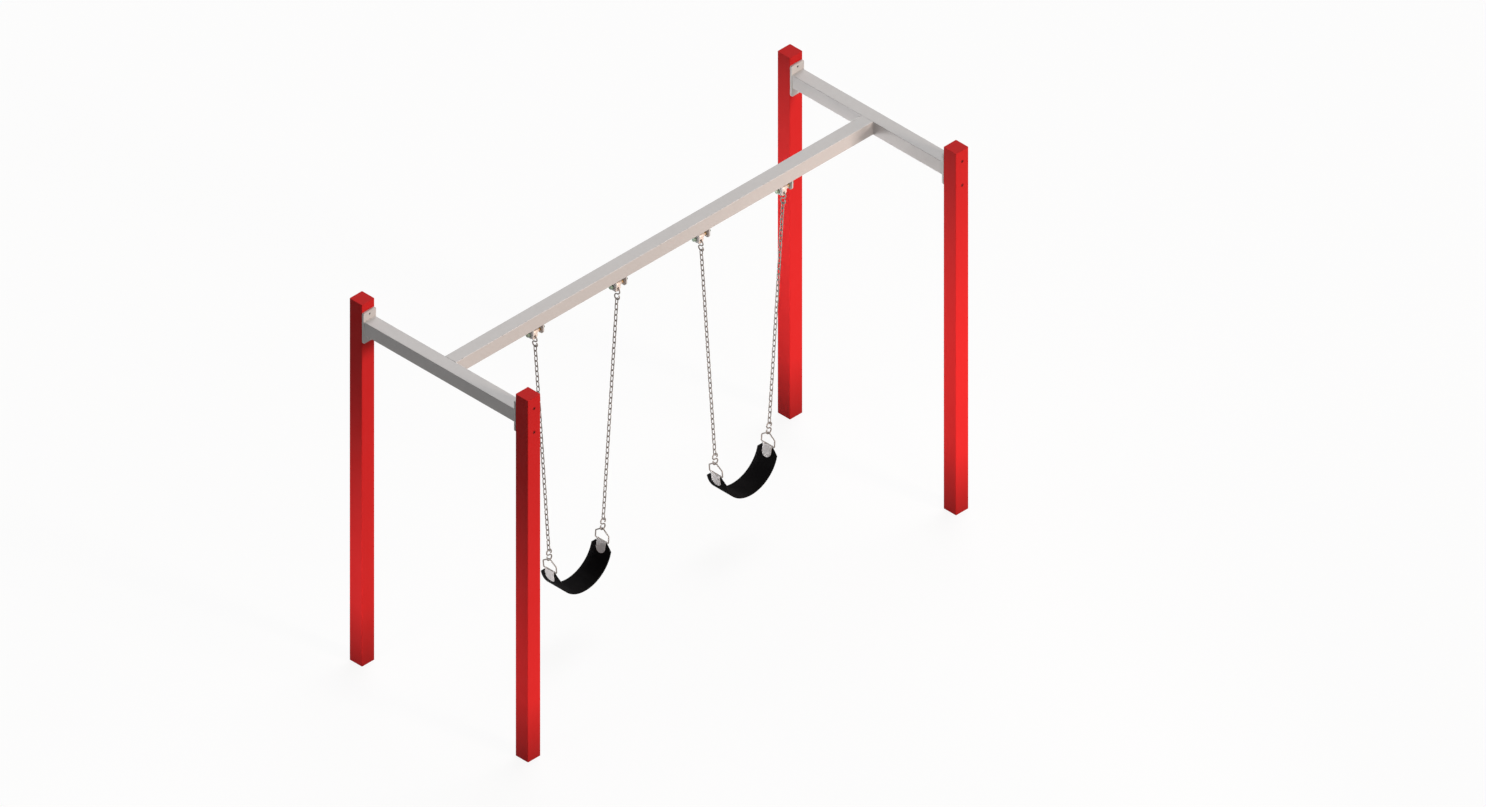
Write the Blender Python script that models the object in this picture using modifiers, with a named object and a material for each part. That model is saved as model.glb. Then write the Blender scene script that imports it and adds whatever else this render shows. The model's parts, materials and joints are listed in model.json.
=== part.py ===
"""Swing frame with two belt swings.

Four square posts stand on the ground in two pairs. Each pair carries an end rail between its
posts, and the main beam runs from rail to rail with its top level with theirs. Two belt seats
hang under the beam, each on two chains. Sizes are in metres, with Z up and the ground at Z = 0.
The origin is on the ground under the middle of the beam. X runs along the beam and -Y is the
front.
"""

import math

import bmesh
import bpy
from mathutils import Vector

# Clearance between pieces that touch, and the bite of welded shapes into each other.
GAP = 0.0003
WELD = 0.001
# How far a cutter runs past the face that it opens.
OVER = 0.010

# Faceting of round shapes.
ROUND_SIDES = 12
BARREL_SIDES = 16
EYE_SIDES = 14
CORNER_STEPS = 2

# Posts and their caps.
POST_SIZE = 0.100
POST_WALL = 0.005
POST_CORNER = 0.004
POST_HEIGHT = 2.500
CAP_THICK = 0.003
CAP_SKIRT = 0.030
CAP_SKIRT_WALL = 0.003

# Where the posts stand: distances between their centre lines.
FRAME_LENGTH = 3.424
FRAME_DEPTH = 1.328

# Rails and beam, in one size of square tube, with their top this far below the posts' top.
TUBE_SIZE = 0.090
TUBE_WALL = 0.004
TUBE_CORNER = 0.003
BEAM_DROP = 0.110

# End plates welded to the rails, and the bolts that hold them to the posts.
PLATE_WIDTH = 0.100
PLATE_HEIGHT = 0.210
PLATE_THICK = 0.012
PLATE_CORNER = 0.010
BOLT_SPACING = 0.165
RAIL_BOLT = 0.012
RAIL_BOLT_HEAD = 0.022
RAIL_BOLT_SOCKET = 0.010
SOCKET_DEPTH = 0.004

# Spigots on the rails that the beam slides over, and the screw under each of its ends.
SPIGOT_LENGTH = 0.140
SPIGOT_WALL = 0.006
VENT = 0.012
SCREW_INSET = 0.075
BEAM_SCREW = 0.012
BEAM_SCREW_HEAD = 0.021
BEAM_SCREW_HEAD_THICK = 0.008
BEAM_SCREW_TAIL = 0.004

# Hangers under the beam: a bracket with two lugs, and a bolt that the swivel turns on.
HANGER_SPACING = 0.664
LUG_GAP = 0.072
LUG_THICK = 0.010
LUG_WIDTH = 0.064
LUG_DROP = 0.075
LUG_CORNER = 0.020
BRACKET_BASE = 0.008
PIVOT_DROP = 0.052
HANGER_BOLT = 0.016
HEX_SIZE = 0.024
HEAD_THICK = 0.010
NUT_THICK = 0.016
BOLT_TAIL = 0.009
WASHER_SIZE = 0.034
WASHER_THICK = 0.004

# Swivels, and the bushes inside them.
BUSH_WALL = 0.002
BUSH_FLANGE = 0.025
BUSH_FLANGE_THICK = 0.011
BARREL_WALL = 0.004
SWIVEL_WIDTH = 0.041
SWIVEL_THICK = 0.010
EYE_DROP = 0.032
EYE_SIZE = 0.014

# Hooks of bent wire: each is two closed loops, one above the other.
HOOK_WIRE = 0.008
HOOK_LOOP = 0.037
HOOK_SWEEP = math.radians(315)
HOOK_STEPS = 14

# Chains. Each link bites a little into the next, so that a chain is one piece.
LINK_COUNT = 40
LINK_PITCH = 0.03695
LINK_WIRE = 0.006
LINK_WIDTH = 0.025
LINK_BITE = 0.0006
LINK_SLOPE = math.radians(30)

# Rings at the seat ends: a straight bar, two short sides and a pointed top.
RING_WIRE = 0.008
RING_WIDTH = 0.112
RING_HEIGHT = 0.0805
RING_SLOPE = math.radians(36)
RING_CORNER = 0.007
RING_STEPS = 4

# Belt seats: a half circle of belt between the two ring bars.
SEAT_SPAN = 0.414
BELT_WIDTH = 0.154
BELT_THICK = 0.008
BELT_END_WIDTH = 0.084
BELT_END_DROP = 0.009
BELT_STEPS = 22

# Clamps: a strap folded over the ring bar and riveted through the belt. A window through the
# fold leaves the middle of the bar bare, down to a little above the bar's centre.
CLAMP_WIDTH = 0.070
CLAMP_THICK = 0.0025
CLAMP_LENGTH = 0.080
CLAMP_STEPS = 4
WRAP_STEPS = 4
WINDOW_WIDTH = 0.058
WINDOW_FLOOR = 0.002
RIVET = 0.006
RIVET_HEAD = 0.010
RIVET_HEAD_THICK = 0.0008
RIVET_SPREAD = 0.040
# Facets of the clamp, counted down from the bar, that hold its two rivets and its one rivet.
PAIR_FACET = 1
SINGLE_FACET = 3
RIVET_SIDES = 8

# Sizes that follow from the ones above.
BEAM_TOP = POST_HEIGHT - BEAM_DROP
AXIS_HEIGHT = BEAM_TOP - TUBE_SIZE / 2
BEAM_UNDERSIDE = BEAM_TOP - TUBE_SIZE
PIVOT_HEIGHT = BEAM_UNDERSIDE - PIVOT_DROP
PLATE_Y = FRAME_DEPTH / 2 - POST_SIZE / 2 - GAP - PLATE_THICK / 2
RAIL_HALF = PLATE_Y - PLATE_THICK / 2
BEAM_HALF = FRAME_LENGTH / 2 - TUBE_SIZE / 2 - GAP
SPIGOT_SIZE = TUBE_SIZE - 2 * TUBE_WALL - 2 * GAP
BOLT_LENGTH = POST_SIZE + GAP + PLATE_THICK
BOLT_HEIGHTS = (AXIS_HEIGHT - BOLT_SPACING / 2, AXIS_HEIGHT + BOLT_SPACING / 2)
LUG_FACE = LUG_GAP / 2 + LUG_THICK
BUSH_SIZE = HANGER_BOLT + 2 * GAP + 2 * BUSH_WALL
BARREL_SIZE = BUSH_SIZE + 2 * GAP + 2 * BARREL_WALL
BELT_RADIUS = SEAT_SPAN / 2
BELT_END = math.asin(BELT_END_DROP / BELT_RADIUS)
CLAMP_STEP = (CLAMP_LENGTH / BELT_RADIUS - BELT_END) / CLAMP_STEPS
CLAMP_END = BELT_END + CLAMP_STEPS * CLAMP_STEP

# Distances along a hang line, down from the wire that rests in the swivel's eye.
HOOK_DROP = 2 * HOOK_LOOP
HOOK_TO_LINK = ((HOOK_WIRE + LINK_WIRE) / 2 + GAP) / math.cos(LINK_SLOPE)
HOOK_TO_RING = (HOOK_WIRE + RING_WIRE) / 2 + GAP
LINK_LENGTH = LINK_PITCH + LINK_WIRE - LINK_BITE
CHAIN_TOP = HOOK_DROP - HOOK_TO_LINK
CHAIN_BOTTOM = CHAIN_TOP + (LINK_COUNT - 1) * LINK_PITCH + LINK_LENGTH
LOWER_HOOK_TOP = CHAIN_BOTTOM - HOOK_TO_LINK
TILT_DROP = LOWER_HOOK_TOP + HOOK_DROP
BAR_DROP = TILT_DROP - HOOK_TO_RING + RING_HEIGHT

# The hang line leans, because the seat is narrower than the spacing of its hangers.
LEAN = math.asin((HANGER_SPACING - SEAT_SPAN) / 2 / BAR_DROP)


def seat_of_wire():
    """How far a hook's wire centre lies above the bottom of the swivel's eye."""
    loop = HOOK_LOOP / 2
    chord = math.sqrt(loop**2 - (SWIVEL_THICK / 2) ** 2)
    return loop - chord + HOOK_WIRE / 2 * loop / chord + GAP


EYE_BOTTOM = PIVOT_HEIGHT - EYE_DROP - EYE_SIZE / 2
HANG_HEIGHT = EYE_BOTTOM + seat_of_wire()
TILT_HEIGHT = HANG_HEIGHT - TILT_DROP * math.cos(LEAN)
BAR_HEIGHT = HANG_HEIGHT - BAR_DROP * math.cos(LEAN)
# The clamp's fold rests on the bar, so a belt thicker than the bar hangs below its centre.
SEAT_HEIGHT = BAR_HEIGHT - (BELT_THICK / 2 - RING_WIRE / 2)


def clear_scene():
    for item in list(bpy.data.objects):
        bpy.data.objects.remove(item, do_unlink=True)


def make_collection(name):
    collection = bpy.data.collections.new(name)
    bpy.context.scene.collection.children.link(collection)
    return collection


def make_material(name, colour, roughness, metallic):
    material = bpy.data.materials.new(name)
    material.use_nodes = True
    shader = material.node_tree.nodes["Principled BSDF"]
    shader.inputs["Base Color"].default_value = (*colour, 1.0)
    shader.inputs["Roughness"].default_value = roughness
    shader.inputs["Metallic"].default_value = metallic
    return material


class Shop:
    """The collections and materials that the pieces go into."""

    def __init__(self):
        self.parts = make_collection("swing_frame")
        self.cutters = make_collection("cutters")
        self.paint = make_material("red_paint", (0.62, 0.03, 0.03), 0.45, 0.0)
        self.tube = make_material("galvanised_tube", (0.56, 0.53, 0.50), 0.50, 0.8)
        self.zinc = make_material("zinc_fasteners", (0.42, 0.50, 0.46), 0.40, 0.9)
        self.bronze = make_material("bronze_bush", (0.55, 0.36, 0.14), 0.35, 1.0)
        self.swivel = make_material("swivel_steel", (0.78, 0.68, 0.60), 0.45, 0.7)
        self.wire = make_material("wire_steel", (0.30, 0.27, 0.25), 0.45, 0.9)
        self.clamp = make_material("clamp_steel", (0.52, 0.50, 0.49), 0.45, 0.8)
        self.rubber = make_material("black_rubber", (0.02, 0.02, 0.02), 0.65, 0.0)

    def pivot(self, name, location, rotation=(0, 0, 0), parent=None):
        """An empty on a joint's axis or along a hang line."""
        empty = bpy.data.objects.new(name, None)
        empty.empty_display_size = 0.1
        empty.location = location
        empty.rotation_euler = rotation
        empty.parent = parent
        self.parts.objects.link(empty)
        return empty

    def finish(self, item, name, material, location, rotation=(0, 0, 0), parent=None):
        """Names a piece, puts it in its place and gives it its material."""
        item.name = name
        item.data.name = name
        item.data.materials.clear()
        item.data.materials.append(material)
        item.location = location
        item.rotation_euler = rotation
        item.parent = parent
        return item

    def tool(self, item, location=(0, 0, 0), rotation=(0, 0, 0)):
        """Makes an object a cutter, which is not part of the swing frame."""
        self.parts.objects.unlink(item)
        self.cutters.objects.link(item)
        item.hide_render = True
        item.display_type = "WIRE"
        item.location = location
        item.rotation_euler = rotation
        return item


def bore(radius, sides=ROUND_SIDES):
    """Corner radius of a faceted hole whose flats clear a round pin."""
    return (radius + GAP) / math.cos(math.pi / sides)


def circle(radius, sides=ROUND_SIDES, centre=(0, 0)):
    angles = [2 * math.pi * i / sides for i in range(sides)]
    return [(centre[0] + radius * math.cos(a), centre[1] + radius * math.sin(a)) for a in angles]


def arc(centre, radius, start, end, steps):
    """Points along an arc, with both ends."""
    angles = [start + (end - start) * i / steps for i in range(steps + 1)]
    return [(centre[0] + radius * math.cos(a), centre[1] + radius * math.sin(a)) for a in angles]


def fillet(corners, radii, steps):
    """Rounds the corners of a convex outline that runs anticlockwise."""
    points = []
    for i, (corner, radius) in enumerate(zip(corners, radii)):
        here = Vector(corner)
        before = (Vector(corners[i - 1]) - here).normalized()
        after = (Vector(corners[(i + 1) % len(corners)]) - here).normalized()
        if radius == 0:
            points.append(tuple(here))
            continue
        half = before.angle(after) / 2
        centre = here + (before + after).normalized() * radius / math.sin(half)
        first = math.atan2(*reversed(here + before * radius / math.tan(half) - centre))
        points += arc(centre, radius, first, first + math.pi - 2 * half, steps)
    return points


def rounded_square(size, radius):
    half = size / 2
    corners = [(-half, -half), (half, -half), (half, half), (-half, half)]
    return fillet(corners, [radius] * 4, CORNER_STEPS)


def square_tube(size, wall, corner):
    """Outer and inner outline of a square tube."""
    return [rounded_square(size, corner), rounded_square(size - 2 * wall, corner / 2)]


def meshed(shop, item):
    """The mesh object of a curve or of an object with modifiers, with its caps welded."""
    bpy.context.view_layer.update()
    graph = bpy.context.evaluated_depsgraph_get()
    mesh = bpy.data.meshes.new_from_object(item.evaluated_get(graph))
    shape = bmesh.new()
    shape.from_mesh(mesh)
    bmesh.ops.remove_doubles(shape, verts=shape.verts, dist=1e-6)
    shape.to_mesh(mesh)
    shape.free()
    result = bpy.data.objects.new(item.name, mesh)
    result.matrix_world = item.matrix_world
    shop.parts.objects.link(result)
    bpy.data.objects.remove(item, do_unlink=True)
    return result


def outline(shop, loops, thickness):
    """A flat outline in its own XY plane, thickened evenly to both sides."""
    curve = bpy.data.curves.new("outline", "CURVE")
    curve.dimensions = "2D"
    curve.fill_mode = "BOTH"
    curve.extrude = thickness / 2
    for loop in loops:
        spline = curve.splines.new("POLY")
        spline.points.add(len(loop) - 1)
        for point, (x, y) in zip(spline.points, loop):
            point.co = (x, y, 0, 1)
        spline.use_cyclic_u = True
    item = bpy.data.objects.new("outline", curve)
    shop.parts.objects.link(item)
    return meshed(shop, item)


def wire(shop, paths, diameter, sides_more, closed):
    """Round wire along one or more paths, with four sides and two for each step more."""
    curve = bpy.data.curves.new("wire", "CURVE")
    curve.dimensions = "3D"
    curve.bevel_depth = diameter / 2
    curve.bevel_resolution = sides_more
    curve.use_fill_caps = True
    for path in paths:
        spline = curve.splines.new("POLY")
        spline.points.add(len(path) - 1)
        for point, place in zip(spline.points, path):
            point.co = (*place, 1)
        spline.use_cyclic_u = closed
    item = bpy.data.objects.new("wire", curve)
    shop.parts.objects.link(item)
    return item


def turned(shop, profile, sides=ROUND_SIDES, closed=False):
    """A profile of (radius, height) points turned round its own Z axis."""
    mesh = bpy.data.meshes.new("turned")
    count = len(profile)
    edges = [(i, (i + 1) % count) for i in range(count if closed else count - 1)]
    mesh.from_pydata([(radius, 0, height) for radius, height in profile], edges, [])
    item = bpy.data.objects.new("turned", mesh)
    shop.parts.objects.link(item)
    screw = item.modifiers.new("turn", "SCREW")
    screw.steps = sides
    screw.render_steps = sides
    screw.use_merge_vertices = True
    screw.merge_threshold = 0.00001
    screw.use_smooth_shade = False
    result = meshed(shop, item)
    result.data.shade_smooth()
    result.data.set_sharp_from_angle(angle=math.radians(40))
    return result


def rod(shop, radius, length, sides=ROUND_SIDES):
    """A plain round or hexagonal bar along its own Z axis, centred."""
    mesh = bpy.data.meshes.new("rod")
    shape = bmesh.new()
    bmesh.ops.create_cone(
        shape, cap_ends=True, segments=sides, radius1=radius, radius2=radius, depth=length
    )
    shape.to_mesh(mesh)
    shape.free()
    item = bpy.data.objects.new("rod", mesh)
    shop.parts.objects.link(item)
    return item


def combine(shop, item, operation, tools):
    """Cuts, joins or trims a piece with tools given as (object, location, rotation)."""
    for tool, location, rotation in tools:
        modifier = item.modifiers.new(operation.lower(), "BOOLEAN")
        modifier.operation = operation
        modifier.object = shop.tool(tool, location, rotation)


ALONG_X = (0, math.pi / 2, 0)
ALONG_Y = (math.pi / 2, 0, 0)
# Turns an outline so that its own X runs along Y and its own Y runs up.
FACING_X = (math.pi / 2, 0, math.pi / 2)

# Each corner of the frame, with its side along X and along Y.
CORNERS = (
    ("left_front", -1, -1),
    ("left_rear", -1, 1),
    ("right_front", 1, -1),
    ("right_rear", 1, 1),
)


def rail_bolt_profile(extra):
    """A countersunk bolt from its head down, or with extra the hole for it."""
    head = bore(RAIL_BOLT_HEAD / 2) if extra else RAIL_BOLT_HEAD / 2
    shank = bore(RAIL_BOLT / 2) if extra else RAIL_BOLT / 2
    top = [(0, extra), (head, extra)] if extra else [(0, 0)]
    end = -BOLT_LENGTH - extra
    return top + [(head, 0), (shank, -POST_WALL), (shank, end), (0, end)]


def make_posts(shop):
    """Posts with their caps and the bolts through them, named from the front at the left."""
    for place, side, depth in CORNERS:
        x = side * FRAME_LENGTH / 2
        y = depth * FRAME_DEPTH / 2
        post = outline(shop, square_tube(POST_SIZE, POST_WALL, POST_CORNER), POST_HEIGHT)
        middle = POST_HEIGHT / 2
        outward = (-depth * math.pi / 2, 0, 0)
        holes = [
            (turned(shop, rail_bolt_profile(OVER)), (x, y + depth * POST_SIZE / 2, height), outward)
            for height in BOLT_HEIGHTS
        ]
        combine(shop, post, "DIFFERENCE", holes)
        shop.finish(post, "post_" + place, shop.paint, (x, y, middle))
        make_cap(shop, place, x, y)
        for level, height in zip(("lower", "upper"), BOLT_HEIGHTS):
            bolt = turned(shop, rail_bolt_profile(0))
            socket = rod(shop, RAIL_BOLT_SOCKET / math.sqrt(3), 2 * SOCKET_DEPTH, 6)
            face = (x, y + depth * POST_SIZE / 2, height)
            combine(shop, bolt, "DIFFERENCE", [(socket, face, outward)])
            shop.finish(bolt, f"rail_bolt_{place}_{level}", shop.paint, face, outward)


def make_cap(shop, place, x, y):
    """A flat cap with a skirt that fits inside the post."""
    cap = outline(shop, [rounded_square(POST_SIZE, POST_CORNER)], CAP_THICK)
    skirt_size = POST_SIZE - 2 * POST_WALL - 2 * GAP
    skirt = outline(shop, square_tube(skirt_size, CAP_SKIRT_WALL, POST_CORNER), CAP_SKIRT)
    height = POST_HEIGHT + GAP + CAP_THICK / 2
    skirt_height = POST_HEIGHT + GAP + WELD - CAP_SKIRT / 2
    combine(shop, cap, "UNION", [(skirt, (x, y, skirt_height), (0, 0, 0))])
    shop.finish(cap, "post_cap_" + place, shop.paint, (x, y, height))


def make_end_rails(shop):
    """Each rail is a tube with an end plate welded to each end and a spigot for the beam."""
    for place, side in (("left", -1), ("right", 1)):
        x = side * FRAME_LENGTH / 2
        rail = outline(shop, square_tube(TUBE_SIZE, TUBE_WALL, TUBE_CORNER), 2 * (RAIL_HALF + WELD))
        joined = []
        for depth in (-1, 1):
            holes = [circle(bore(RAIL_BOLT / 2), centre=(0, s * BOLT_SPACING / 2)) for s in (-1, 1)]
            half = Vector((PLATE_WIDTH, PLATE_HEIGHT)) / 2
            corners = [(-half.x, -half.y), (half.x, -half.y), (half.x, half.y), (-half.x, half.y)]
            edge = fillet(corners, [PLATE_CORNER] * 4, CORNER_STEPS)
            plate = outline(shop, [edge] + holes, PLATE_THICK)
            joined.append((plate, (x, depth * PLATE_Y, AXIS_HEIGHT), ALONG_Y))
        spigot_length = SPIGOT_LENGTH + WELD
        spigot = outline(shop, square_tube(SPIGOT_SIZE, SPIGOT_WALL, TUBE_CORNER / 2), spigot_length)
        inward = FRAME_LENGTH / 2 - TUBE_SIZE / 2 + WELD - spigot_length / 2
        joined.append((spigot, (side * inward, 0, AXIS_HEIGHT), ALONG_X))
        combine(shop, rail, "UNION", joined)
        vent = rod(shop, VENT / 2, 2 * OVER)
        vent_place = (x - side * TUBE_SIZE / 2, 0, AXIS_HEIGHT)
        combine(shop, rail, "DIFFERENCE", [(vent, vent_place, ALONG_X), screw_hole(shop, side)])
        shop.finish(rail, "end_rail_" + place, shop.tube, (x, 0, AXIS_HEIGHT), ALONG_Y)


def screw_hole(shop, side):
    """The hole up through the beam and the spigot for the screw at one end."""
    depth = TUBE_WALL + SPIGOT_WALL + OVER
    hole = rod(shop, bore(BEAM_SCREW / 2), 2 * depth)
    return hole, (side * (BEAM_HALF - SCREW_INSET), 0, BEAM_UNDERSIDE), (0, 0, 0)


def make_beam(shop):
    beam = outline(shop, square_tube(TUBE_SIZE, TUBE_WALL, TUBE_CORNER), 2 * BEAM_HALF)
    combine(shop, beam, "DIFFERENCE", [screw_hole(shop, -1), screw_hole(shop, 1)])
    shop.finish(beam, "main_beam", shop.tube, (0, 0, AXIS_HEIGHT), ALONG_X)
    for place, side in (("left", -1), ("right", 1)):
        shank = TUBE_WALL + SPIGOT_WALL + 2 * GAP + BEAM_SCREW_TAIL
        head = BEAM_SCREW_HEAD / 2
        profile = [
            (0, shank),
            (BEAM_SCREW / 2, shank),
            (BEAM_SCREW / 2, 0),
            (head, 0),
            (head, -BEAM_SCREW_HEAD_THICK),
            (0, -BEAM_SCREW_HEAD_THICK),
        ]
        screw = turned(shop, profile)
        place_x = side * (BEAM_HALF - SCREW_INSET)
        shop.finish(screw, "beam_screw_" + place, shop.zinc, (place_x, 0, BEAM_UNDERSIDE - GAP))


def make_bracket(shop, number, x):
    """A channel with its web under the beam and its two flanges, the lugs, hanging down."""
    top = -GAP
    web = top - BRACKET_BASE
    inner = LUG_GAP / 2
    channel = [
        (-LUG_FACE, top),
        (-LUG_FACE, -LUG_DROP),
        (-inner, -LUG_DROP),
        (-inner, web),
        (inner, web),
        (inner, -LUG_DROP),
        (LUG_FACE, -LUG_DROP),
        (LUG_FACE, top),
    ]
    bracket = outline(shop, [channel], LUG_WIDTH)
    half = LUG_WIDTH / 2
    below = -LUG_DROP
    edge = [(-half, below), (half, below), (half, OVER), (-half, OVER)]
    shape = fillet(edge, [LUG_CORNER, LUG_CORNER, 0, 0], 2 * CORNER_STEPS)
    tongue = outline(shop, [shape], 2 * (LUG_FACE + OVER))
    combine(shop, bracket, "INTERSECT", [(tongue, (x, 0, BEAM_UNDERSIDE), FACING_X)])
    hole = rod(shop, bore(HANGER_BOLT / 2), 2 * (LUG_FACE + OVER))
    combine(shop, bracket, "DIFFERENCE", [(hole, (x, 0, PIVOT_HEIGHT), ALONG_X)])
    name = f"hanger_bracket_{number}"
    shop.finish(bracket, name, shop.tube, (x, 0, BEAM_UNDERSIDE), ALONG_Y)


def make_hanger_bolt(shop, number, x):
    """The bolt through the lugs, in one piece with its washers and its nut."""
    shank = HANGER_BOLT / 2
    washer = WASHER_SIZE / 2
    near = LUG_FACE + GAP
    far = near + WASHER_THICK
    tip = far + NUT_THICK + BOLT_TAIL
    profile = [
        (0, tip),
        (shank, tip),
        (shank, far),
        (washer, far),
        (washer, near),
        (shank, near),
        (shank, -near),
        (washer, -near),
        (washer, -far),
        (0, -far),
    ]
    bolt = turned(shop, profile)
    corner = HEX_SIZE / math.sqrt(3)
    nut = rod(shop, corner, NUT_THICK + WELD, 6)
    head = rod(shop, corner, HEAD_THICK + WELD, 6)
    nut_x = x + far + (NUT_THICK - WELD) / 2
    head_x = x - far - (HEAD_THICK - WELD) / 2
    joined = [
        (nut, (nut_x, 0, PIVOT_HEIGHT), ALONG_X),
        (head, (head_x, 0, PIVOT_HEIGHT), ALONG_X),
    ]
    combine(shop, bolt, "UNION", joined)
    shop.finish(bolt, f"hanger_bolt_{number}", shop.zinc, (x, 0, PIVOT_HEIGHT), ALONG_X)


def make_swivel(shop, number, x, pivot):
    """A barrel that turns on the hanger bolt, with a plate and an eye below it."""
    left = -LUG_GAP / 2 + GAP
    right = LUG_GAP / 2 - BUSH_FLANGE_THICK - 2 * GAP
    barrel = rod(shop, BARREL_SIZE / 2, right - left, BARREL_SIDES)
    half = SWIVEL_WIDTH / 2
    below = -EYE_DROP - half
    corners = [(-half, below), (half, below), (half, 0), (-half, 0)]
    shape = fillet(corners, [half, half, 0, 0], 2 * CORNER_STEPS)
    eye = circle(EYE_SIZE / 2 / math.cos(math.pi / EYE_SIDES), EYE_SIDES, (0, -EYE_DROP))
    plate = outline(shop, [shape, eye], SWIVEL_THICK)
    base = (pivot.location.x + x, 0, PIVOT_HEIGHT)
    combine(shop, barrel, "UNION", [(plate, base, ALONG_Y)])
    bush_hole = rod(shop, bore(BUSH_SIZE / 2), LUG_GAP + OVER)
    combine(shop, barrel, "DIFFERENCE", [(bush_hole, base, ALONG_X)])
    location = (x + (left + right) / 2, 0, 0)
    shop.finish(barrel, f"hanger_swivel_{number}", shop.swivel, location, ALONG_X, pivot)

    hole = bore(HANGER_BOLT / 2)
    body = BUSH_SIZE / 2
    flange = BUSH_FLANGE / 2
    end = LUG_GAP / 2 - GAP
    step = end - BUSH_FLANGE_THICK
    profile = [(hole, end), (flange, end), (flange, step), (body, step), (body, left), (hole, left)]
    bush = turned(shop, profile, closed=True)
    shop.finish(bush, f"hanger_bush_{number}", shop.bronze, (x, 0, 0), ALONG_X, pivot)


def hook_path(along_y):
    """The wire of a hook, down from the top of its upper loop, in the XZ or the YZ plane."""
    radius = HOOK_LOOP / 2
    upper = arc((0, -radius), radius, 1.5 * math.pi - HOOK_SWEEP, 1.5 * math.pi, HOOK_STEPS)
    lower = arc((0, -3 * radius), radius, 0.5 * math.pi, 0.5 * math.pi - HOOK_SWEEP, HOOK_STEPS)
    flat = upper + lower[1:]
    return [(0, w, h) if along_y else (w, 0, h) for w, h in flat]


def make_hook(shop, name, along_y, drop, line):
    hook = wire(shop, [hook_path(along_y)], HOOK_WIRE, 1, False)
    shop.finish(hook, name, shop.wire, (0, 0, -drop), parent=line)


def link_path(index):
    """The centre line of a link with six corners, in the XZ or the YZ plane by turns."""
    side = (LINK_WIDTH - LINK_WIRE) / 2
    half = LINK_LENGTH / 2
    low = half - side * math.tan(LINK_SLOPE)
    corners = [(0, half), (side, low), (side, -low), (0, -half), (-side, -low), (-side, low)]
    middle = -half - index * LINK_PITCH
    if index % 2:
        return [(0, w, h + middle) for w, h in corners]
    return [(w, 0, h + middle) for w, h in corners]


def make_chain(shop, number, line):
    odd = [link_path(i) for i in range(0, LINK_COUNT, 2)]
    even = [link_path(i) for i in range(1, LINK_COUNT, 2)]
    chain = meshed(shop, wire(shop, odd, LINK_WIRE, 0, True))
    between = meshed(shop, wire(shop, even, LINK_WIRE, 0, True))
    combine(shop, chain, "UNION", [(between, (0, 0, 0), (0, 0, 0))])
    chain = meshed(shop, chain)
    shop.finish(chain, f"chain_{number}", shop.wire, (0, 0, -CHAIN_TOP), parent=line)


def ring_path():
    """The centre line of a ring, from the point that it hangs and tilts on."""
    half = (RING_WIDTH - RING_WIRE) / 2
    bar = TILT_DROP - BAR_DROP
    peak = HOOK_TO_RING / math.cos(RING_SLOPE)
    shoulder = peak - half * math.tan(RING_SLOPE)
    corners = [(-half, bar), (half, bar), (half, shoulder), (0, peak), (-half, shoulder)]
    rounds = [RING_CORNER, RING_CORNER, RING_CORNER, HOOK_TO_RING, RING_CORNER]
    flat = fillet(corners, rounds, RING_STEPS)
    return [(0, w, h) for w, h in flat]


def make_ring(shop, number, x, lean, seat):
    ring = wire(shop, [ring_path()], RING_WIRE, 1, True)
    shop.finish(ring, f"seat_ring_{number}", shop.wire, (x, 0, 0), (0, lean, 0), seat)


def belt_angles():
    """Angles below the bars at which the belt's facets meet, the same as the clamps' facets."""
    end = [BELT_END + i * CLAMP_STEP for i in range(CLAMP_STEPS)]
    step = (math.pi - 2 * CLAMP_END) / BELT_STEPS
    middle = [CLAMP_END + i * step for i in range(BELT_STEPS + 1)]
    return end + middle + [math.pi - a for a in reversed(end)]


def on_arc(radius, angle):
    return (radius * math.cos(angle), -radius * math.sin(angle))


def rivet_places():
    """Each rivet as an angle below the bar and a distance across the belt."""
    pair = BELT_END + (PAIR_FACET - 1 / 2) * CLAMP_STEP
    single = BELT_END + (SINGLE_FACET - 1 / 2) * CLAMP_STEP
    return [(pair, -RIVET_SPREAD / 2), (pair, RIVET_SPREAD / 2), (single, 0)]


def rivet_tools(shop, centre, side, profile):
    """A turned shape at each rivet of one seat end, with its axis square to the belt."""
    facet = BELT_RADIUS * math.cos(CLAMP_STEP / 2)
    tools = []
    for angle, across in rivet_places():
        x, z = on_arc(facet, angle)
        turn = (0, side * (math.pi / 2 + angle), 0)
        place = (centre[0] + side * x, across, centre[2] + z)
        tools.append((turned(shop, profile, RIVET_SIDES), place, turn))
    return tools


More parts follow.
